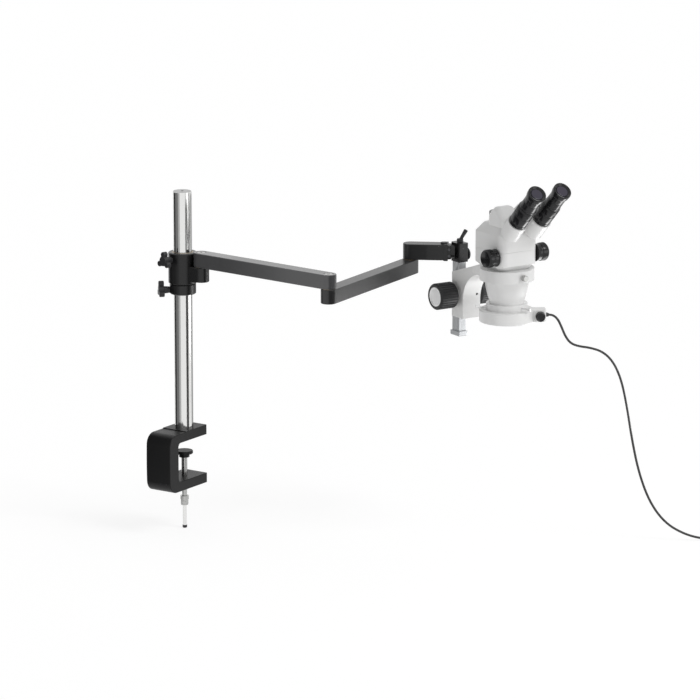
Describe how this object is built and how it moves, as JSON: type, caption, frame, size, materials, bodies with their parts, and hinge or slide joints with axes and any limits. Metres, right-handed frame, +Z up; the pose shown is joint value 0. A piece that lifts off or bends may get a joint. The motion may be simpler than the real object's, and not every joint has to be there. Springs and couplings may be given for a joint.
{
  "type": "stereo microscope on jointed arm stand",
  "caption": "Stereo zoom microscope with ring light on a jointed double arm, a chrome column and a table clamp; the arms swing, the head tilts, turns and focuses.",
  "frame": {"origin": "on the column's axis at the table face, which is the underside of the clamp's upper jaw", "axes": "+Z up along the column, +X along the table's edge, +Y in over the table"},
  "size_m": [0.8753, 0.5683, 0.6343],
  "materials": {
    "black_paint": "satin black powder coat",
    "chrome": "polished hard chrome",
    "steel": "turned bright steel",
    "bronze": "plain sintered bronze",
    "black_plastic": "moulded matt black",
    "black_gloss": "gloss black",
    "knurled_black": "ribbed black grip",
    "white_enamel": "smooth white enamel",
    "white_plastic": "white moulded",
    "silver": "satin anodised",
    "rail_metal": "ground and clear anodised",
    "lens_glass": "coated glass",
    "opal": "opal diffuser",
    "cord_rubber": "soft black sheath"
  },
  "bodies": {
    "clamp": {"clamp_frame": "black_paint", "column": "chrome", "column_screw": "steel"},
    "pad": {"pressure_pad": "black_paint"},
    "spindle": {"clamp_spindle": "steel", "handle_pin": "steel"},
    "handle": {"clamp_handle": "chrome", "handle_tip": "black_plastic"},
    "collar": {"safety_collar": "black_paint"},
    "collar_knob": {"safety_knob": "black_plastic"},
    "carrier": {"arm_carrier": "black_paint", "carrier_bushes": "bronze", "shoulder_pivot": "steel"},
    "carrier_clamp_knob": {"carrier_knob": "black_plastic"},
    "first_arm": {"arm_one": "black_paint", "shoulder_bush": "bronze", "elbow_bush": "bronze"},
    "second_arm": {"arm_two": "black_paint", "elbow_pivot": "steel", "wrist_bush": "bronze"},
    "third_arm": {"arm_three": "black_paint", "wrist_pivot": "steel", "tilt_flange": "black_paint", "tilt_flange_screws": "steel", "tilt_lock_screw": "black_plastic"},
    "bracket": {"tilt_bracket": "black_paint", "focus_rail": "rail_metal", "rail_foot": "rail_metal"},
    "lever": {"tilt_lever": "black_plastic"},
    "bracket_disc_knob": {"bracket_knob": "black_plastic"},
    "carriage": {"focus_arm": "white_enamel", "tension_screw": "black_plastic"},
    "pinion": {"focus_pinion": "steel", "focus_knob_left": "knurled_black", "focus_knob_right": "knurled_black", "focus_knob_caps": "silver"},
    "ring_screw": {"holder_screw": "chrome"},
    "head": {"lower_body": "white_enamel", "main_body": "white_enamel", "top_cover": "white_enamel", "objective_lens": "lens_glass", "photo_tube": "black_gloss", "ring_light": "white_plastic", "ring_light_diffuser": "opal", "ring_light_screws": "steel", "cord_gland": "cord_rubber", "lead": "cord_rubber", "lead_coil": "cord_rubber", "dc_plug": "black_plastic"},
    "zoom": {"zoom_knobs": "black_gloss"},
    "left_prism": {"prism_housing_left": "white_enamel"},
    "right_prism": {"prism_housing_right": "white_enamel"},
    "left_ocular": {"diopter_ring_left": "black_gloss", "eyepiece_left": "black_gloss", "eye_lens_left": "lens_glass"},
    "right_ocular": {"diopter_ring_right": "black_gloss", "eyepiece_right": "black_gloss", "eye_lens_right": "lens_glass"},
    "dimmer": {"dimmer_knob": "black_gloss"}
  },
  "joints": [
    {"name": "pad_travel", "type": "slide", "parent": "clamp", "child": "pad", "axis": [0, 0, 1], "range_m": [-0.028, 0.0195]},
    {"name": "spindle_turn", "type": "hinge", "parent": "pad", "child": "spindle", "pos_m": [0, 0, -0.05], "axis": [0, 0, 1], "range_deg": [-6721, 4681]},
    {"name": "handle_swing", "type": "hinge", "parent": "spindle", "child": "handle", "pos_m": [0, 0, -0.1164], "axis": [-0.5592, 0.829, 0], "range_deg": [-90, 90]},
    {"name": "collar_slide", "type": "slide", "parent": "clamp", "child": "collar", "axis": [0, 0, 1], "range_m": [-0.17, 0.09]},
    {"name": "collar_knob_turn", "type": "hinge", "parent": "collar", "child": "collar_knob", "pos_m": [0, 0, 0.257], "axis": [-0.7193, -0.6947, 0], "range_deg": [0, 540]},
    {"name": "carrier_turn", "type": "hinge", "parent": "collar", "child": "carrier", "pos_m": [0, 0, 0.2683], "axis": [0, 0, 1], "range_deg": [-180, 180]},
    {"name": "carrier_knob_turn", "type": "hinge", "parent": "carrier", "child": "carrier_clamp_knob", "pos_m": [0, 0, 0.311], "axis": [-0.2756, -0.9613, 0], "range_deg": [0, 540]},
    {"name": "shoulder_turn", "type": "hinge", "parent": "carrier", "child": "first_arm", "pos_m": [0.039, 0, 0.3011], "axis": [0, 0, 1], "range_deg": [-90, 60]},
    {"name": "elbow_turn", "type": "hinge", "parent": "first_arm", "child": "second_arm", "pos_m": [0.31594, -0.02423, 0.3005], "axis": [0, 0, 1], "range_deg": [-90, 40]},
    {"name": "wrist_turn", "type": "hinge", "parent": "second_arm", "child": "third_arm", "pos_m": [0.29655, 0.25309, 0.3011], "axis": [0, 0, 1], "range_deg": [-25, 70]},
    {"name": "tilt_turn", "type": "hinge", "parent": "third_arm", "child": "bracket", "pos_m": [0.35719, 0.28602, 0.3146], "axis": [-0.8788, -0.4772, 0], "range_deg": [-30, 30]},
    {"name": "tilt_lever_turn", "type": "hinge", "parent": "bracket", "child": "lever", "pos_m": [0.37133, 0.29192, 0.331], "axis": [0, 0, 1], "range_deg": [-60, 60]},
    {"name": "bracket_knob_turn", "type": "hinge", "parent": "bracket", "child": "bracket_disc_knob", "pos_m": [0.3734, 0.3019, 0.3095], "axis": [0.3907, 0.9205, 0], "range_deg": [0, 540]},
    {"name": "focus_travel", "type": "slide", "parent": "bracket", "child": "carriage", "axis": [0, 0, 1], "range_m": [-0.026, 0.006]},
    {"name": "focus_pinion_turn", "type": "hinge", "parent": "carriage", "child": "pinion", "pos_m": [0.3822, 0.28731, 0.245], "axis": [0.3907, 0.9205, 0], "range_deg": [-48, 208]},
    {"name": "ring_screw_turn", "type": "hinge", "parent": "carriage", "child": "ring_screw", "pos_m": [0.54255, 0.21924, 0.3025], "axis": [0.9205, -0.3907, 0], "range_deg": [0, 720]},
    {"name": "head_turn", "type": "hinge", "parent": "carriage", "child": "head", "pos_m": [0.5002, 0.23721, 0.3125], "axis": [0, 0, 1], "range_deg": [-120, 60]},
    {"name": "zoom_turn", "type": "hinge", "parent": "head", "child": "zoom", "pos_m": [0.52138, 0.22823, 0.3375], "axis": [0.3907, 0.9205, 0], "range_deg": [-135, 135]},
    {"name": "eye_spacing_right", "type": "hinge", "parent": "head", "child": "right_prism", "pos_m": [0.51824, 0.25411, 0.3905], "axis": [0, 0, 1], "range_deg": [-0.5, 5.2]},
    {"name": "diopter_right", "type": "hinge", "parent": "right_prism", "child": "right_ocular", "pos_m": [0.56941, 0.23395, 0.4035], "axis": [0.6579, -0.2592, 0.7071], "range_deg": [-120, 120]},
    {"name": "eye_spacing_left", "type": "hinge", "parent": "head", "child": "left_prism", "pos_m": [0.50058, 0.2125, 0.3905], "axis": [0, 0, 1], "range_deg": [-5.2, 0.5]},
    {"name": "diopter_left", "type": "hinge", "parent": "left_prism", "child": "left_ocular", "pos_m": [0.55063, 0.1897, 0.4035], "axis": [0.6434, -0.2932, 0.7071], "range_deg": [-120, 120]},
    {"name": "dimmer_turn", "type": "hinge", "parent": "head", "child": "dimmer", "pos_m": [0.55431, 0.25803, 0.231], "axis": [0.5592, -0.829, 0], "range_deg": [0, 270]}
  ],
  "couplings": [
    {"joint": "spindle_turn", "follows": "pad_travel", "rad_per_m": 4188.8},
    {"joint": "focus_pinion_turn", "follows": "focus_travel", "rad_per_m": -138.89},
    {"joint": "eye_spacing_left", "follows": "eye_spacing_right", "ratio": -1}
  ]
}
